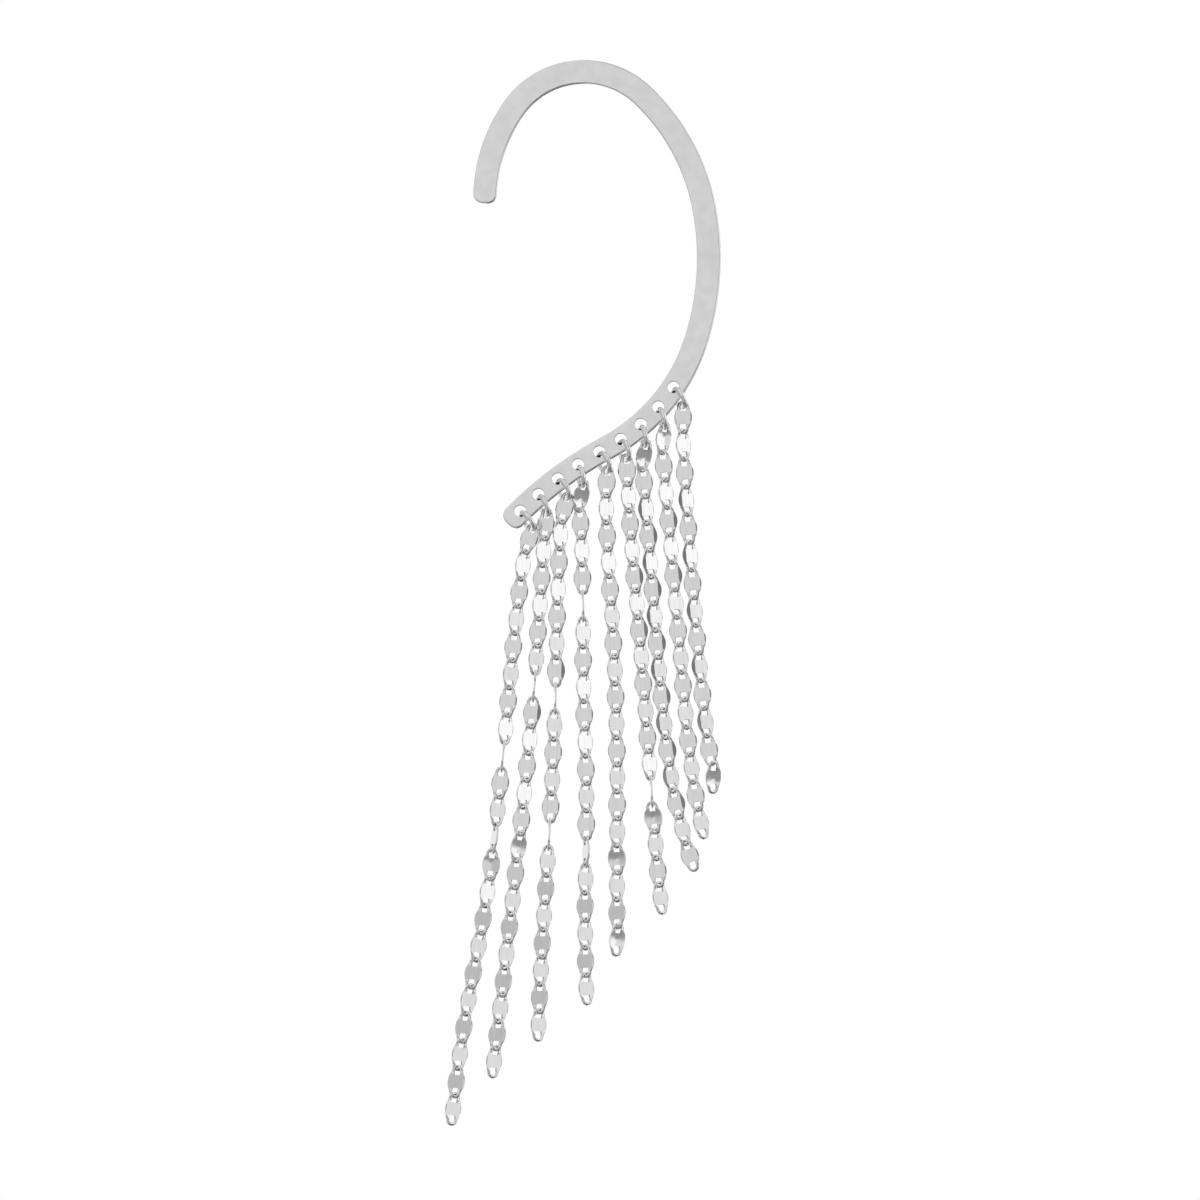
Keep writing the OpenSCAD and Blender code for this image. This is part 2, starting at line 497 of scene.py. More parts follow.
@dataclass
class EarHook:
    """The flat band that goes over the ear and ends in the lower bar.

    Attributes:
        length: Length of the band's middle line between the centres of its round ends.
        width: Width of the band.
        thickness: Thickness of the band.
        edge: Radius of the polished edges.
        rim_crisp: Share of that radius that the edges of the punched holes have.
        free_end_aim: Direction of the free end, in degrees up from the right.
        end_blunt: How blunt the two ends are: 2 is a half circle, more is squarer.
        bends: The band's arcs from the free end to the bar's tip.
        hole_d: Diameter of the holes.
        hole_pitch: Spacing of the holes along the band.
        hole_inset: Distance of the first hole from the centre of the bar's round end.
        hole_count: Number of holes.
        step: Degrees of turn to one chord of the outline.
        end_steps: Chords in a round end.
        hole_steps: Chords in a hole.
        edge_steps: Steps in the rounding of an edge.
    """

    length: float = 94.8
    width: float = 3.0
    thickness: float = 0.8
    edge: float = 0.22
    rim_crisp: float = 0.25
    free_end_aim: float = 87.0
    end_blunt: float = 2.6
    bends: tuple[Bend, ...] = (
        Bend(0.119, 31.8),
        Bend(0.192, 98.9),
        Bend(0.1705, 35.2),
        Bend(0.182, 28.9),
        Bend(0.187, 43.8),
        Bend(0.1495, -17.0),
    )
    hole_d: float = 1.5
    hole_pitch: float = 3.095
    hole_inset: float = 0.73
    hole_count: int = 9
    step: float = 1.5
    end_steps: int = 32
    hole_steps: int = 40
    edge_steps: int = 3
    crown: Vector = field(init=False)

    def __post_init__(self) -> None:
        """Finds the crown's inner edge, where the band runs level in its second bend."""
        self.crown = Vector((0.0, 0.0, 0.0))
        level = self.walk(1, self.starts()[1][1])[0]
        self.crown = level - Vector((0.0, 0.0, self.width / 2))

    def starts(self) -> list[tuple[Vector, float]]:
        """Place and aim at the start of each bend, and at the end of the last.

        Returns:
            One pair for each bend, and one for the tip.
        """
        at, pairs = (-self.crown, self.free_end_aim), []
        for bend in self.bends:
            pairs.append(at)
            at = self.along(at, bend, bend.turn)
        return [*pairs, at]

    def along(self, at: tuple[Vector, float], bend: Bend, turned: float) -> tuple[Vector, float]:
        """Place and aim after part of a bend.

        Args:
            at: Place and aim at the bend's start.
            bend: The bend.
            turned: Degrees turned so far, with the bend's own sign.

        Returns:
            The place and the aim.
        """
        side = math.copysign(1.0, bend.turn)
        radius = bend.share * self.length / math.radians(abs(bend.turn))
        centre = at[0] + radius * side * aim(at[1] - 90)
        return centre - radius * side * aim(at[1] - turned - 90), at[1] - turned

    def walk(self, index: int, turned: float) -> tuple[Vector, float]:
        """Place and aim this many degrees into one of the bends."""
        return self.along(self.starts()[index], self.bends[index], turned)

    def band_at(self, distance: float) -> Vector:
        """The middle of the band at a distance from the free end.

        Args:
            distance: Distance along the middle line.

        Returns:
            The point.
        """
        for index, bend in enumerate(self.bends):
            reach = bend.share * self.length
            if distance <= reach or index == len(self.bends) - 1:
                return self.walk(index, distance / reach * bend.turn)[0]
            distance -= reach
        raise ValueError("the band has no bends")

    def hole(self, number: int) -> Vector:
        """The centre of a hole, counted from the bar's tip."""
        return self.band_at(self.length - self.hole_inset - (number - 1) * self.hole_pitch)

    def outline(self) -> list[Vector]:
        """The band's outline, with its round ends.

        Returns:
            The points, one way round.
        """
        starts = self.starts()
        stations = []
        for index, bend in enumerate(self.bends):
            steps = math.ceil(abs(bend.turn) / self.step)
            stations += [self.walk(index, bend.turn * j / steps) for j in range(steps)]
        stations.append(starts[-1])

        def blunt(value: float) -> float:
            """Pushes a share of the half width outwards, as far as the ends are blunt."""
            return math.copysign(abs(value) ** (2 / self.end_blunt), value)

        def beside(at: tuple[Vector, float], turn: float) -> Vector:
            """A point of the outline, beside or past a place of the middle line.

            Args:
                at: Place and aim on the middle line.
                turn: Degrees to the left of that aim.

            Returns:
                The point.
            """
            place, way = at
            ahead, left = blunt(math.cos(math.radians(turn))), blunt(math.sin(math.radians(turn)))
            return place + self.width / 2 * (ahead * aim(way) + left * aim(way + 90))

        def round_end(at: tuple[Vector, float], start: float) -> list[Vector]:
            """The points of half a turn round an end of the band."""
            return [beside(at, start - 180 * t / self.end_steps) for t in range(1, self.end_steps)]

        return [
            *[beside(at, 90) for at in stations],
            *round_end(stations[-1], 90),
            *[beside(at, -90) for at in reversed(stations)],
            *round_end(stations[0], -90),
        ]

    def rim(self, number: int) -> list[Vector]:
        """The points round a hole."""
        centre, radius = self.hole(number), self.hole_d / 2
        return [centre + radius * aim(360 * j / self.hole_steps) for j in range(self.hole_steps)]

    def punch(self, form: bmesh.types.BMesh) -> None:
        """Makes the rims of the holes crisper than the band's polished edges, and marks their walls.

        Args:
            form: The band's mesh, in millimetres.
        """
        centres = [self.hole(n + 1) for n in range(self.hole_count)]
        radius, face_y = self.hole_d / 2, self.thickness / 2
        for vert in form.verts:
            centre = min(centres, key=lambda c: math.hypot(vert.co.x - c.x, vert.co.z - c.z))
            out = Vector((vert.co.x - centre.x, 0.0, vert.co.z - centre.z))
            if out.length < radius + self.edge * (1 + HAIR):
                out *= (radius + (out.length - radius) * self.rim_crisp) / out.length
                deep = face_y - (face_y - abs(vert.co.y)) * self.rim_crisp
                if abs(vert.co.y) > face_y - self.edge * (1 + HAIR):
                    vert.co.y = math.copysign(deep, vert.co.y)
                vert.co.x, vert.co.z = centre.x + out.x, centre.z + out.z
        punched = form.faces.layers.float.new("punched")
        for face in form.faces:
            middle = face.calc_center_median()
            apart = min(math.hypot(middle.x - c.x, middle.z - c.z) for c in centres)
            face[punched] = float(apart < radius + self.edge * self.rim_crisp / 2)

    def build(self, finish: bpy.types.Material) -> bpy.types.Object:
        """Makes the band as a filled plate with polished edges.

        Args:
            finish: The band's material.

        Returns:
            The piece.
        """
        curve = bpy.data.curves.new("hook_outline", "CURVE")
        curve.dimensions = "2D"
        curve.fill_mode = "BOTH"
        curve.extrude = self.thickness / 2 - self.edge
        curve.bevel_depth = self.edge
        curve.bevel_resolution = self.edge_steps - 1
        curve.offset = -self.edge
        for points in [self.outline(), *[self.rim(n + 1) for n in range(self.hole_count)]]:
            spline = curve.splines.new("POLY")
            spline.points.add(len(points) - 1)
            spline.points.foreach_set("co", [c for p in points for c in (p.x, p.z, 0.0, 1.0)])
            spline.use_cyclic_u = True
        sketch = new_piece("hook_sketch", curve)
        graph = bpy.context.evaluated_depsgraph_get()
        mesh = bpy.data.meshes.new_from_object(sketch.evaluated_get(graph), depsgraph=graph)
        bpy.data.objects.remove(sketch)
        mesh.transform(Matrix.Rotation(math.radians(90), 4, "X"))
        form = bmesh.new()
        form.from_mesh(mesh)
        bmesh.ops.remove_doubles(form, verts=form.verts, dist=self.edge * HAIR)
        bmesh.ops.recalc_face_normals(form, faces=form.faces)
        for face in form.faces:
            face.smooth = True
        self.punch(form)
        form.to_mesh(mesh)
        form.free()
        mesh.materials.clear()
        mesh.materials.append(finish)
        piece = new_piece("hook_band", mesh)
        weigh_normals(piece)
        settle(piece)
        return piece


# The chain


@dataclass(frozen=True)
class Hang:
    """How one strand hangs.

    Attributes:
        ring_lean: Lean of its jump ring.
        ring_turn: Turn of its jump ring to the right.
        first: Heading of its first link.
        headings: Headings of the links below at the top, the quarters and the end.
        slack: Slack between its links.
        depth: How far back it lies.
    """

    ring_lean: float
    ring_turn: float
    first: float
    headings: tuple[float, ...]
    slack: float
    depth: float


@dataclass(frozen=True)
class OddLink:
    """A link that lies unlike the rest: its strand, number and turn, and whether the rest then lean over."""

    strand: int
    link: int
    turn: float
    flips: bool


@dataclass(frozen=True)
class TippedLink:
    """A link that the strand holds a little forward: its strand, its number and its tip."""

    strand: int
    link: int
    tip: float


@dataclass(frozen=True)
class Bevel:
    """The slope along a plate's side: its width at the middle, and how steep it is in front and behind."""

    width: float
    front: float
    back: float


@dataclass(frozen=True)
class FlatLink:
    """One stamped link: a flat plate with bevelled sides, and a round wire eye at either end.

    Attributes:
        right: The right side's bevel.
        left: The left side's bevel.
        taper: Share of a bevel's width that is lost by the plate's ends.
        dent: How deep the plate is dented at its middle.
        plate_w: Width of the plate with its plating.
        plate_h: Height of the plate between its eyes.
        flat_h: Height at which the bulged sides meet the wire of the eyes.
        plate_t: Thickness of the plate.
        eye_w: Outer width of an eye.
        eye_h: Clear height inside an eye.
        wire: Wire diameter of an eye.
        wire_look: Wire diameter of an eye with its plating, which fills the eye a little.
        arch_steps: Steps in half of an eye's arch.
        crease: Angle from which an edge of the plate stays crisp, in degrees.
    """

    right: Bevel
    left: Bevel
    taper: float = 0.45
    dent: float = 0.0
    plate_w: float = 2.33
    plate_h: float = 1.62
    flat_h: float = 2.4
    plate_t: float = 0.25
    eye_w: float = 1.54
    eye_h: float = 1.01
    wire: float = 0.3
    wire_look: float = 0.36
    arch_steps: int = 4
    crease: float = 10.0

    def side(self, z: float) -> float:
        """Half the width of the outline, from the plate's middle to where the eye's arch starts.

        Args:
            z: Height above the plate's middle.

        Returns:
            Half the width at that height.
        """
        bulge = (self.plate_w - self.eye_w) / 2
        radius = ((self.flat_h / 2) ** 2 + bulge**2) / (2 * bulge)
        if z >= self.flat_h / 2:
            return self.eye_w / 2
        return self.plate_w / 2 - radius + math.sqrt(radius**2 - z**2)

    def rows(self, bevel: Bevel) -> list[list[list[Spot]]]:
        """A quarter of the link as rows of points, with how far each lies before and behind the middle.

        Args:
            bevel: The bevel of the plate's side.

        Returns:
            The rows of the plate, from its middle up, and the rows along the leg and arch of the eye.
        """
        inner = self.eye_w / 2 - self.wire_look
        middle = self.eye_w / 2 - self.wire_look / 2
        thick, crest, cheek = self.plate_t / 2, self.wire_look / 2, self.wire_look / 4
        arch_z = self.plate_h / 2 + self.eye_h + self.wire - self.eye_w / 2
        plate = []
        for share in (0.0, 0.5, 1.0):
            z = share * self.plate_h / 2
            side, width = self.side(z), bevel.width * (1 - self.taper * share**2)
            front, back = (thick - width * math.tan(math.radians(a)) for a in (bevel.front, bevel.back))
            flat = [(x, z, thick, thick) for x in (0.0, inner, side - width)]
            plate.append([*flat, (side, z, front, back)])
        leg_z = (self.plate_h / 2 + arch_z) / 2
        foot = plate[-1]
        leg = [
            (inner, leg_z, (thick + cheek) / 2, (thick + cheek) / 2),
            (middle, leg_z, crest, crest),
            (self.side(leg_z), leg_z, (foot[-1][2] + cheek) / 2, (foot[-1][3] + cheek) / 2),
        ]
        eye = [foot[1:], leg]
        for step in range(self.arch_steps + 1):
            a = math.radians(90 * step / self.arch_steps)
            profile = ((inner, cheek), (middle, crest), (self.eye_w / 2, cheek))
            eye.append([(r * math.cos(a), arch_z + r * math.sin(a), half, half) for r, half in profile])
        return [plate, eye]

    def mesh(self) -> bpy.types.Mesh:
        """Builds the link as one closed shell, upright, with its front to -Y.

        Returns:
            The link's mesh, in millimetres.
        """
        form = bmesh.new()
        pairs: dict[Point, tuple[bmesh.types.BMVert, bmesh.types.BMVert]] = {}
        uses: dict[frozenset[Point], tuple[Point, Point]] = {}
        twice: set[frozenset[Point]] = set()

        def corner(x: float, z: float, front: float, back: float) -> Point:
            """Adds the two points of a corner, unless they are there.

            Args:
                x: Its place across the link.
                z: Its height.
                front: How far the front point lies before the middle.
                back: How far the back point lies behind the middle.

            Returns:
                The key to both points.
            """
            key = (round(x, CORNER_DIGITS), round(z, CORNER_DIGITS))
            if key not in pairs:
                across, up = 2 * x / self.plate_w, 2 * z / self.plate_h
                sunk = self.dent * max(1 - across**2, 0.0) * max(1 - up**2, 0.0)
                pairs[key] = (form.verts.new((x, sunk - front, z)), form.verts.new((x, sunk + back, z)))
            return key

        def patch(corners: list[Point]) -> None:
            """Adds a face in front and one behind, and notes which edges are used twice.

            Args:
                corners: The keys of the corners, one way round.
            """
            form.faces.new([pairs[c][0] for c in corners])
            form.faces.new([pairs[c][1] for c in reversed(corners)])
            for a, b in zip(corners, corners[1:] + corners[:1]):
                edge = frozenset((a, b))
                if edge in uses:
                    twice.add(edge)
                uses[edge] = (a, b)

        for sx, bevel in ((1, self.right), (-1, self.left)):
            for rows in self.rows(bevel):
                for low, high in zip(rows, rows[1:]):
                    for i in range(len(low) - 1):
                        quarter = (low[i], low[i + 1], high[i + 1], high[i])
                        for sz in (1, -1):
                            patch([corner(sx * x, sz * z, f, b) for x, z, f, b in quarter[:: sx * sz]])
        for edge, (a, b) in uses.items():
            if edge not in twice:
                form.faces.new([pairs[b][0], pairs[a][0], pairs[a][1], pairs[b][1]])
        bmesh.ops.recalc_face_normals(form, faces=form.faces)
        for edge in form.edges:
            on_plate = all(abs(v.co.z) < self.plate_h / 2 + self.wire * HAIR for v in edge.verts)
            edge.smooth = not (on_plate and edge.calc_face_angle() > math.radians(self.crease))
        made = bpy.data.meshes.new("flat_link")
        form.to_mesh(made)
        form.free()
        return made


NARROW = Bevel(0.12, 28.0, 24.0)
SLIM = Bevel(0.08, 20.0, 20.0)
FAR = Bevel(0.14, 25.0, 25.0)
WIDE = Bevel(0.42, 27.0, 0.0)


class LinkKind(Enum):
    """The shapes that hammering gives the links; the near side is the one that its turn brings forward."""

    RIGHT_NEAR = FlatLink(right=NARROW, left=FAR)
    LEFT_NEAR = FlatLink(right=FAR, left=SLIM)
    RIGHT_WIDE = FlatLink(right=WIDE, left=FAR)
    LEFT_WIDE = FlatLink(right=FAR, left=WIDE)
    DENTED = FlatLink(right=SLIM, left=SLIM, dent=0.1)


@dataclass
class ChainCurtain:
    """The nine strands with their jump rings.

    Attributes:
        hook: The hook that carries them.
        link: The sizes that all links share.
        hangs: How each strand hangs, from the bar's tip up.
        odd_links: The links that lie unlike the rest.
        tipped: The links that are held a little forward.
        wide_links: The links with a wide bevel, by strand.
        bright_links: The slanting links that keep their turn where the others settle, by strand.
        edge_on: Turn at which a link is seen from its edge, in degrees.
        edge_swing: How many times as far from there such a link is seen to lie.
        settle_slant: Where the slanting links begin and end to lie squarer, and by how many degrees.
        settle_square: Where the square links begin and end to lie more aslant, and by how many degrees.
        longest: Links on the first strand; each next strand has one fewer.
        square_turn: Turn of the links that face the viewer most squarely.
        slant_turn: Turn the other way of the links between them.
        link_gap: Clearance between two interlocked wires.
        ring_od: Outer diameter of a jump ring.
        ring_wire: Wire diameter of a jump ring.
        ring_gap: Clearance between a jump ring and the edge of its hole.
        ring_play: Extra play of a strand's first link in its ring.
        ring_seam: Degrees left open where a ring's wire meets.
        seam_at: Where the seam lies, in degrees from the ring's lowest point.
        ring_swing: How much further the rings swing round than their turn, as a share of it and in degrees.
        ring_look: Wire diameter of a jump ring with its plating.
        ring_sides: Sides of the route round a jump ring.
        wire_sides: Sides of a jump ring's wire.
        wobble: Largest random tilt of a link about its width, its depth and the strand, in degrees.
    """

    hook: EarHook
    link: FlatLink = LinkKind.RIGHT_NEAR.value
    hangs: tuple[Hang, ...] = (
        Hang(36, 12, -20, (-8, -5, -6, -11, -6), 0.065, 0.03),
        Hang(23, 12, -6.5, (-3.5, -4, -6, -6.5, -6.5), 0.12, 0),
        Hang(26, 20, -15, (-3.5, -1, -2.5, -4, -2), 0.085, -0.15),
        Hang(11, 10, -5.5, (3.5, 0, 2, -1.5, 2), 0.07, -0.07),
        Hang(22, 22, -4, (1, 4, 1.5, -0.5, 0.5), 0.12, 0),
        Hang(15, 22, 2.5, (3, 5, 4.5, 4, 5.5), 0.135, 0),
        Hang(11, 10, -4.5, (4.5, 4.5, 4.5, 7, 17.5), 0.125, 0),
        Hang(16, 10, -4, (4.5, 5, 5, 5, 11.5), 0.035, 0),
        Hang(27, 16, -1, (1.5, 4, 4.5, 5.5, 9), 0.01, 0),
    )
    odd_links: tuple[OddLink, ...] = (
        OddLink(1, 9, 92, True),
        OddLink(1, 12, 104, True),
        OddLink(2, 7, 92, True),
        OddLink(3, 1, -18, False),
        OddLink(3, 8, 92, True),
        OddLink(3, 13, 92, True),
        OddLink(4, 1, 37, True),
        OddLink(4, 5, 92, True),
        OddLink(4, 14, 104, True),
        OddLink(5, 1, -12, False),
        OddLink(6, 1, -12, False),
        OddLink(6, 13, 92, True),
        OddLink(7, 1, 37, True),
        OddLink(8, 1, 37, True),
    )
    tipped: tuple[TippedLink, ...] = (
        TippedLink(1, 13, 8),
        TippedLink(2, 13, 7),
        TippedLink(4, 1, 11),
        TippedLink(5, 15, 8),
        TippedLink(5, 18, 9),
        TippedLink(6, 14, 7),
        TippedLink(7, 1, 12),
        TippedLink(8, 1, 6),
        TippedLink(9, 14, 18),
    )
    wide_links: dict[int, tuple[int, ...]] = field(
        default_factory=lambda: {
            2: (8,),
            3: (7,),
            6: (5, 7),
            7: tuple(range(3, 15)),
            8: (4, 6),
            9: tuple(range(4, 14, 2)),
        }
    )
    bright_links: dict[int, tuple[int, ...]] = field(
        default_factory=lambda: {1: (8, 14), 2: (9, 11), 4: (8, 10), 6: (12,)}
    )
    edge_on: float = 92.0
    edge_swing: float = 1.5
    settle_slant: tuple[float, float, float] = (58.0, 74.0, 4.0)
    settle_square: tuple[float, float, float] = (96.0, 99.0, 5.0)
    longest: int = 22
    square_turn: float = 20.0
    slant_turn: float = 37.0
    link_gap: float = 0.155
    ring_od: float = 2.85
    ring_wire: float = 0.42
    ring_gap: float = 0.15
    ring_play: float = 0.1
    ring_seam: float = 2.5
    seam_at: float = 128.0
    ring_swing: tuple[float, float] = (0.2, 3.0)
    ring_look: float = 0.61
    ring_sides: int = 40
    wire_sides: int = 12
    wobble: tuple[float, float, float] = (1.2, 0.7, 0.9)

    def ring_centre(self, strand: int) -> Vector:
        """The centre of a strand's jump ring.

        Args:
            strand: The strand's number.

        Returns:
            The point.
        """
        hang = self.hangs[strand - 1]
        turn = math.radians(hang.ring_turn)
        half, inner = self.hook.thickness / 2, self.ring_od / 2 - self.ring_wire - self.ring_gap
        high = math.sqrt((self.hook.hole_d / 2) ** 2 - (half * math.tan(turn)) ** 2)
        low = math.sqrt(inner**2 - (half / math.cos(turn)) ** 2)
        return self.hook.hole(strand) + (high + low) * heading(hang.ring_lean)

    def link_count(self, strand: int) -> int:
        """How many links a strand has."""
        return self.longest + 1 - strand

    def link_heading(self, strand: int, number: int) -> float:
        """The heading of a link.

        Args:
            strand: The strand's number.
            number: The link's number from the top.

        Returns:
            Degrees from straight down.
        """
        hang = self.hangs[strand - 1]
        if number == 1:
            return hang.first
        along = (len(hang.headings) - 1) * (number - 1) / (self.link_count(strand) - 1)
        index = min(int(along), len(hang.headings) - 2)
        return hang.headings[index] + (hang.headings[index + 1] - hang.headings[index]) * (along - index)

    def link_turn(self, strand: int, number: int) -> float:
        """The turn of a link about the strand.

        Args:
            strand: The strand's number.
            number: The link's number from the top.

        Returns:
            Degrees.
        """
        mine = [odd for odd in self.odd_links if odd.strand == strand]
        for odd in mine:
            if odd.link == number:
                return odd.turn
        flips = sum(odd.flips for odd in mine if odd.link < number)
        return -self.square_turn if (number + flips) % 2 else self.slant_turn

    def visible_turn(self, strand: int, number: int, low: float) -> float:
        """The turn of a link as it is seen: the strands settle a little out of their regular twist.

        Args:
            strand: The strand's number.
            number: The link's number from the top.
            low: How far it hangs below the crown.

        Returns:
            Degrees.
        """
        turn = self.link_turn(strand, number)
        if turn > self.slant_turn:
            return self.edge_on + (turn - self.edge_on) * self.edge_swing
        if number in self.bright_links.get(strand, ()):
            return turn
        start, end, most = self.settle_square if turn < 0 else self.settle_slant
        return turn - most * min(max((low - start) / (end - start), 0.0), 1.0)

    def link_tip(self, strand: int, number: int) -> float:
        """How far a link is held forward, in degrees."""
        return sum(link.tip for link in self.tipped if (link.strand, link.link) == (strand, number))

    def link_kind(self, strand: int, number: int) -> LinkKind:
        """The shape of a link.

        Args:
            strand: The strand's number.
            number: The link's number from the top.

        Returns:
            The shape, with its near side the one that its turn brings forward.
        """
        if self.link_tip(strand, number):
            return LinkKind.DENTED
        wide = number in self.wide_links.get(strand, ())
        if self.link_turn(strand, number) < 0:
            return LinkKind.RIGHT_WIDE if wide else LinkKind.RIGHT_NEAR
        return LinkKind.LEFT_WIDE if wide else LinkKind.LEFT_NEAR

    def joints(self, strand: int) -> list[Vector]:
        """The points where a strand's links meet, from its ring to its free end.

        Args:
            strand: The strand's number.

        Returns:
            One point more than the strand has links.
        """
        hang = self.hangs[strand - 1]
        pitch = self.link.plate_h + 2 * self.link.eye_h - self.link_gap - hang.slack
        low = self.ring_centre(strand) + (self.ring_od - self.ring_wire) / 2 * heading(hang.ring_lean)
        rise = (self.ring_wire + self.link_gap) / 2 + self.ring_play
        points = [low - rise * heading(hang.first)]
        points[0].y = hang.depth
        for number in range(1, self.link_count(strand) + 1):
            points.append(points[-1] + pitch * heading(self.link_heading(strand, number)))
        return points

    def ring_bench(self) -> NodeBench:
        """Lays out the tree that bends a wire into a ring with a hairline seam.

        Returns:
            The bench that holds the tree.
        """
        bench = NodeBench("bend_jump_ring")
        for name in ("Ring Radius", "Wire Radius", "Seam", "Seam Place"):
            bench.add_input(name, "NodeSocketFloat")
        for name in ("Ring Sides", "Wire Sides"):
            bench.add_input(name, "NodeSocketInt")
        bench.add_input("Lie", "NodeSocketVector")
        bench.add_input("Finish", "NodeSocketMaterial")
        seam, seam_place = bench.given("Seam"), bench.given("Seam Place")
        half = bench.node("ShaderNodeMath", {0: seam, 1: 0.5}, operation="MULTIPLY")
        start = bench.node("ShaderNodeMath", {0: seam_place, 1: half.outputs[0]}, operation="ADD")
        sweep = bench.node("ShaderNodeMath", {0: math.tau, 1: seam}, operation="SUBTRACT")
        route = bench.node(
            "GeometryNodeCurveArc",
            {
                "Resolution": bench.given("Ring Sides"),
                "Radius": bench.given("Ring Radius"),
                "Start Angle": start.outputs[0],
                "Sweep Angle": sweep.outputs[0],
            },
            mode="RADIUS",
        )
        wire = bench.node(
            "GeometryNodeCurvePrimitiveCircle",
            {"Resolution": bench.given("Wire Sides"), "Radius": bench.given("Wire Radius")},
            mode="RADIUS",
        )
        ring = bench.node(
            "GeometryNodeCurveToMesh",
            {"Curve": route.outputs["Curve"], "Profile Curve": wire.outputs["Curve"], "Fill Caps": True},
        )
        turned = bench.node("FunctionNodeEulerToRotation", {"Euler": bench.given("Lie")})
        hung = bench.node(
            "GeometryNodeInstanceOnPoints",
            {
                "Points": bench.given("Geometry"),
                "Instance": ring.outputs["Mesh"],
                "Rotation": turned.outputs["Rotation"],
            },
        )
        bench.finish_with(hung.outputs["Instances"])
        return bench

    def strand_bench(self) -> NodeBench:
        """Lays out the tree that hangs a link on each stretch between two joints.

        Returns:
            The bench that holds the tree.
        """
        bench = NodeBench("hang_flat_links")
        bench.add_input("Links", "NodeSocketCollection")
        bench.add_input("Wobble", "NodeSocketVector")
        bench.add_input("Seed", "NodeSocketInt")
        bench.add_input("Finish", "NodeSocketMaterial")
        ends = bench.node("GeometryNodeInputMeshEdgeVertices")
        rise = bench.node(
            "ShaderNodeVectorMath",
            {0: ends.outputs["Position 1"], 1: ends.outputs["Position 2"]},
            operation="SUBTRACT",
        )
        route = bench.given("Geometry")
        held = bench.node("GeometryNodeCaptureAttribute", {"Geometry": route}, domain="EDGE")
        held.capture_items.new("VECTOR", "Rise")
        bench.tree.links.new(rise.outputs["Vector"], held.inputs["Rise"])
        places = bench.node("GeometryNodeMeshToPoints", {"Mesh": held.outputs["Geometry"]}, mode="EDGES")
        upright = bench.node(
            "FunctionNodeAlignRotationToVector", {"Vector": held.outputs["Rise"]}, axis="Z", pivot_axis="Y"
        )
        turn = bench.node("GeometryNodeInputNamedAttribute", {"Name": "turn"}, data_type="FLOAT")
        tip = bench.node("GeometryNodeInputNamedAttribute", {"Name": "tip"}, data_type="FLOAT")
        spin = bench.node(
            "ShaderNodeCombineXYZ", {"X": tip.outputs["Attribute"], "Z": turn.outputs["Attribute"]}
        )
        wobble, seed = bench.given("Wobble"), bench.given("Seed")
        below = bench.node("ShaderNodeVectorMath", {0: wobble, "Scale": -1.0}, operation="SCALE")
        shake = bench.node("FunctionNodeRandomValue", {"Seed": seed}, data_type="FLOAT_VECTOR")
        bench.tree.links.new(below.outputs[0], shake.inputs["Min"])
        bench.tree.links.new(wobble, shake.inputs["Max"])
        pose = bench.node("ShaderNodeVectorMath", {0: spin.outputs["Vector"], 1: shake.outputs["Value"]})
        local = bench.node("FunctionNodeEulerToRotation", {"Euler": pose.outputs["Vector"]})
        both = bench.node(
            "FunctionNodeRotateRotation",
            {"Rotation": upright.outputs["Rotation"], "Rotate By": local.outputs["Rotation"]},
            rotation_space="LOCAL",
        )
        kind = bench.node("GeometryNodeInputNamedAttribute", {"Name": "kind"}, data_type="INT")
        shapes = bench.node(
            "GeometryNodeCollectionInfo",
            {"Collection": bench.given("Links"), "Separate Children": True, "Reset Children": True},
        )
        hung = bench.node(
            "GeometryNodeInstanceOnPoints",
            {
                "Points": places.outputs["Points"],
                "Instance": shapes.outputs["Instances"],
                "Pick Instance": True,
                "Instance Index": kind.outputs["Attribute"],
                "Rotation": both.outputs["Rotation"],
            },
        )
        bench.finish_with(hung.outputs["Instances"])
        return bench

    def build_rings(self, finish: bpy.types.Material) -> list[bpy.types.Object]:
        """Makes the jump rings.

        Args:
            finish: The rings' material.

        Returns:
            The pieces, from the bar's tip up.
        """
        bench, made = self.ring_bench(), []
        for strand in range(1, len(self.hangs) + 1):
            seed = bpy.data.meshes.new("ring_place")
            seed.from_pydata([self.ring_centre(strand)], [], [])
            piece = new_piece(f"ring_wire_{strand}", seed)
            hang = self.hangs[strand - 1]
            lean = Matrix.Rotation(-math.radians(hang.ring_lean), 3, "Y")
            share, more = self.ring_swing
            turn = Matrix.Rotation(math.radians(hang.ring_turn * (1 + share) + more), 3, "Z")
            upright = Matrix.Rotation(math.radians(90), 3, "Y")
            feeds = {
                "Ring Radius": (self.ring_od - self.ring_wire) / 2,
                "Wire Radius": self.ring_look / 2,
                "Seam": math.radians(self.ring_seam),
                "Seam Place": math.radians(self.seam_at),
                "Ring Sides": self.ring_sides,
                "Wire Sides": self.wire_sides,
                "Lie": (lean @ turn @ upright).to_euler(),
                "Finish": finish,
            }
            bench.grow(piece, feeds)
            made.append(piece)
        return made

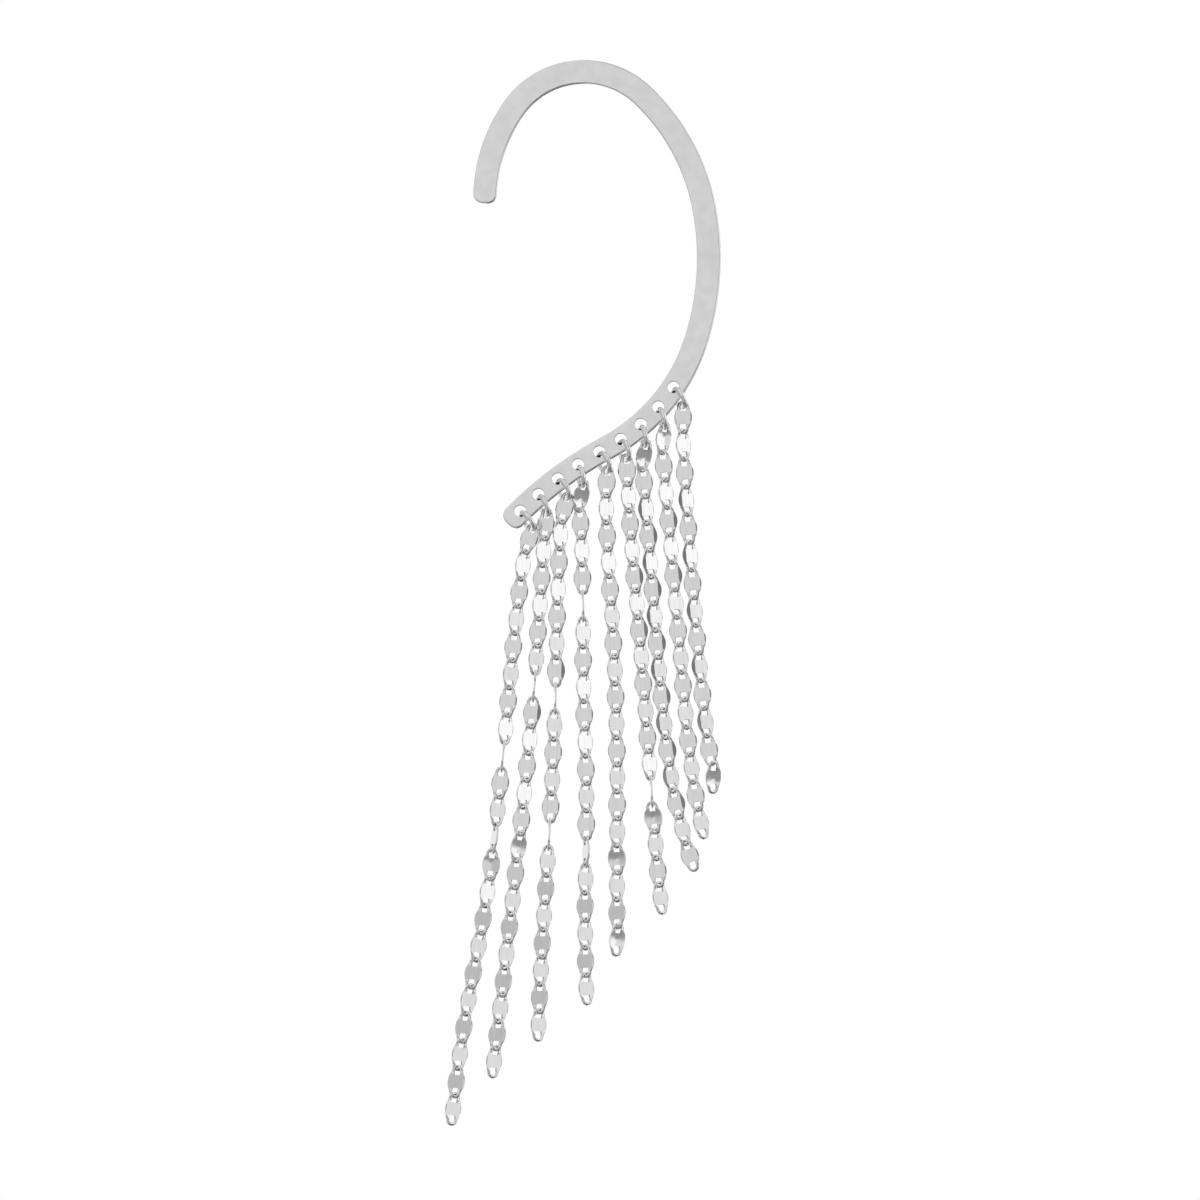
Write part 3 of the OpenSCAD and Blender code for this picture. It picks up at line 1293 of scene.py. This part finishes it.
    def build_strands(self, finish: bpy.types.Material) -> list[bpy.types.Object]:
        """Makes the strands.

        Args:
            finish: The chain's material.

        Returns:
            The pieces, from the bar's tip up.
        """
        kinds, patterns = list(LinkKind), bpy.data.collections.new("link_patterns")
        for index, kind in enumerate(kinds):
            patterns.objects.link(bpy.data.objects.new(f"link_pattern_{index}", kind.value.mesh()))
        bench, made = self.strand_bench(), []
        for strand in range(1, len(self.hangs) + 1):
            count = self.link_count(strand)
            joints = self.joints(strand)
            seed = bpy.data.meshes.new("strand_route")
            seed.from_pydata(joints, [(k, k + 1) for k in range(count)], [])
            turns = [math.radians(self.visible_turn(strand, k + 1, -joints[k].z)) for k in range(count)]
            tips = [math.radians(self.link_tip(strand, k + 1)) for k in range(count)]
            picks = [kinds.index(self.link_kind(strand, k + 1)) for k in range(count)]
            notes = (("turn", "FLOAT", turns), ("tip", "FLOAT", tips), ("kind", "INT", picks))
            for name, sort, values in notes:
                seed.attributes.new(name, sort, "EDGE").data.foreach_set("value", values)
            piece = new_piece(f"strand_{strand}", seed)
            feeds = {
                "Links": patterns,
                "Wobble": [math.radians(w) for w in self.wobble],
                "Seed": strand,
                "Finish": finish,
            }
            bench.grow(piece, feeds)
            # The links mirror the room, and not the strands beside them
            piece.visible_glossy = False
            made.append(piece)
        for pattern in list(patterns.objects):
            bpy.data.objects.remove(pattern)
        bpy.data.collections.remove(patterns)
        return made


# The studio


@dataclass(frozen=True)
class Panel:
    """A light or dark panel of the room, seen only in the metal.

    Attributes:
        azimuth: Where its middle stands, in degrees from the front, plus to the right.
        elevation: How high its middle stands, in degrees above level.
        half_width: Half its width, in degrees.
        half_height: Half its height, in degrees.
        soft: Half the width of its soft border, in degrees.
        light: Its brightness.
    """

    azimuth: float
    elevation: float
    half_width: float
    half_height: float
    soft: float
    light: float


@dataclass
class Studio:
    """A pale floor, a pale room with light and dark panels round the earring, and the camera.

    Attributes:
        floor_z: Height of the floor, in metres.
        floor_size: Side of the floor, in metres.
        target: What the camera looks at, in millimetres.
        azimuth: Where the camera stands, in degrees from the front, plus to the right.
        elevation: How far above level it stands, in degrees.
        distance: Its distance, in metres.
        span: Width of the view at the target, in metres.
        walls: Brightness of the room's walls.
        height: Brightness of the room by the sine of the elevation, as shares of the walls and panels.
        panels: The panels, each over the ones before it.
    """

    floor_z: float = -0.4
    floor_size: float = 6.0
    target: Vector = field(default_factory=lambda: Vector((2.03, 0.0, -64.8)))
    azimuth: float = 0.0
    elevation: float = -7.0
    distance: float = 2.4
    span: float = 0.149
    walls: float = 0.76
    height: tuple[Point, ...] = (
        (-1.0, 0.3),
        (-0.86, 0.45),
        (-0.62, 0.85),
        (-0.3, 1.0),
        (1.0, 1.0),
    )
    panels: tuple[Panel, ...] = (
        Panel(61, 0, 9, 90, 2, 0.84),
        Panel(87, 0, 17, 90, 2, 1.15),
        Panel(-130, 0, 26, 90, 8, 0.95),
        Panel(180, 30, 32, 34, 4, 1.15),
        Panel(-54, 0, 8, 90, 2, 0.57),
        Panel(-88, 0, 14, 90, 6, 0.42),
        Panel(125, 0, 20, 90, 6, 0.45),
        Panel(22, 0, 13, 70, 3, 0.2),
        Panel(66, -24, 26, 14, 3, 0.34),
        Panel(-42, -24, 26, 14, 3, 0.34),
        Panel(84, -54, 24, 18, 4, 0.02),
        Panel(165, -17, 15, 18, 1, 0.01),
    )

    def build(self) -> None:
        """Sets up the floor, the room and the camera."""
        self.lay_floor()
        self.light_room()
        self.place_camera()
        bpy.context.scene.view_settings.view_transform = "Standard"

    def lay_floor(self) -> None:
        """Makes the pale floor."""
        form = bmesh.new()
        bmesh.ops.create_grid(form, x_segments=1, y_segments=1, size=self.floor_size / 2)
        bmesh.ops.translate(form, verts=form.verts, vec=(0.0, 0.0, self.floor_z))
        mesh = bpy.data.meshes.new("pale_floor")
        form.to_mesh(mesh)
        form.free()
        mesh.materials.append(PaleFloor().material())
        floor = new_piece("pale_floor", mesh)
        floor.visible_glossy = False

    def light_room(self) -> None:
        """Makes the room that the metal mirrors, plain white where the camera sees it directly."""
        world = bpy.data.worlds.new("pale_room")
        world.use_nodes = True
        bpy.context.scene.world = world
        nodes, links = world.node_tree.nodes, world.node_tree.links
        nodes.clear()

        def sums(operation: str, *feeds: bpy.types.NodeSocket | float) -> bpy.types.NodeSocket:
            """Adds one sum.

            Args:
                operation: The kind of sum.
                *feeds: The numbers that go in, or the sockets that give them.

            Returns:
                The socket that gives the result.
            """
            made = nodes.new("ShaderNodeMath")
            made.operation = operation
            for socket, feed in zip(made.inputs, feeds):
                if isinstance(feed, bpy.types.NodeSocket):
                    links.new(feed, socket)
                else:
                    socket.default_value = feed
            return made.outputs[0]

        def within(angle: bpy.types.NodeSocket, half: float, soft: float) -> bpy.types.NodeSocket:
            """Tells how far a direction lies on a panel, one way across it.

            Args:
                angle: The socket that gives the angle from the panel's middle.
                half: Half the panel's size, in degrees.
                soft: Half the width of its soft border, in degrees.

            Returns:
                The socket that gives 1 on the panel and 0 off it.
            """
            edge = nodes.new("ShaderNodeMapRange")
            edge.interpolation_type = "SMOOTHSTEP"
            edge.inputs["From Min"].default_value = math.radians(half + soft)
            edge.inputs["From Max"].default_value = math.radians(half - soft)
            links.new(sums("ABSOLUTE", angle), edge.inputs["Value"])
            return edge.outputs["Result"]

        parts = nodes.new("ShaderNodeSeparateXYZ")
        links.new(nodes.new("ShaderNodeTexCoord").outputs["Generated"], parts.inputs["Vector"])
        around = sums("ARCTAN2", parts.outputs["X"], sums("MULTIPLY", parts.outputs["Y"], -1.0))
        up = sums("ARCSINE", parts.outputs["Z"])
        light: bpy.types.NodeSocket | float = self.walls
        for panel in self.panels:
            aside = sums("WRAP", sums("SUBTRACT", around, math.radians(panel.azimuth)), math.pi, -math.pi)
            above = sums("SUBTRACT", up, math.radians(panel.elevation))
            cover = sums(
                "MULTIPLY",
                within(aside, panel.half_width, panel.soft),
                within(above, panel.half_height, panel.soft),
            )
            light = sums("MULTIPLY_ADD", cover, sums("SUBTRACT", panel.light, light), light)
        spread = nodes.new("ShaderNodeMapRange")
        spread.inputs["From Min"].default_value = -1.0
        links.new(parts.outputs["Z"], spread.inputs["Value"])
        shares = nodes.new("ShaderNodeValToRGB")
        elements = shares.color_ramp.elements
        while len(elements) < len(self.height):
            elements.new(0.5)
        for element, (at, value) in zip(elements, self.height):
            element.position = (at + 1) / 2
            element.color = (value, value, value, 1.0)
        links.new(spread.outputs["Result"], shares.inputs["Fac"])
        mirrored = nodes.new("ShaderNodeBackground")
        links.new(sums("MULTIPLY", light, shares.outputs["Color"]), mirrored.inputs["Strength"])
        mirrored.inputs["Color"].default_value = WHITE
        seen = nodes.new("ShaderNodeBackground")
        seen.inputs["Color"].default_value = WHITE
        either = nodes.new("ShaderNodeMixShader")
        links.new(nodes.new("ShaderNodeLightPath").outputs["Is Camera Ray"], either.inputs["Fac"])
        links.new(mirrored.outputs[0], either.inputs[1])
        links.new(seen.outputs[0], either.inputs[2])
        links.new(either.outputs[0], nodes.new("ShaderNodeOutputWorld").inputs["Surface"])

    def place_camera(self) -> None:
        """Stands the camera where the photograph was taken from."""
        data = bpy.data.cameras.new("studio_camera")
        data.lens = data.sensor_width * self.distance / self.span
        camera = bpy.data.objects.new("studio_camera", data)
        bpy.context.scene.collection.objects.link(camera)
        a, e = math.radians(self.azimuth), math.radians(self.elevation)
        back = Vector((math.sin(a) * math.cos(e), -math.cos(a) * math.cos(e), math.sin(e)))
        camera.location = self.target * MM + back * self.distance
        camera.rotation_mode = "QUATERNION"
        camera.rotation_quaternion = (-back).to_track_quat("-Z", "Y")
        bpy.context.scene.camera = camera
        LOG.info("camera at %.3f m, floor at %.3f m", camera.location.z, self.floor_z)


def main() -> None:
    """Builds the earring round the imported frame, in the studio."""
    logging.basicConfig(level=logging.INFO, format="%(name)s: %(message)s")
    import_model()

    hook = EarHook()
    hand_over(hook.build(HOOK_PLATING.material()), "ear_hook")

    curtain = ChainCurtain(hook)
    for number, ring in enumerate(curtain.build_rings(RING_PLATING.material()), start=1):
        hand_over(ring, f"jump_ring_{number}")
    for number, strand in enumerate(curtain.build_strands(CHAIN_PLATING.material()), start=1):
        hand_over(strand, f"chain_{number}")

    Studio().build()


if __name__ == "__main__":
    main()
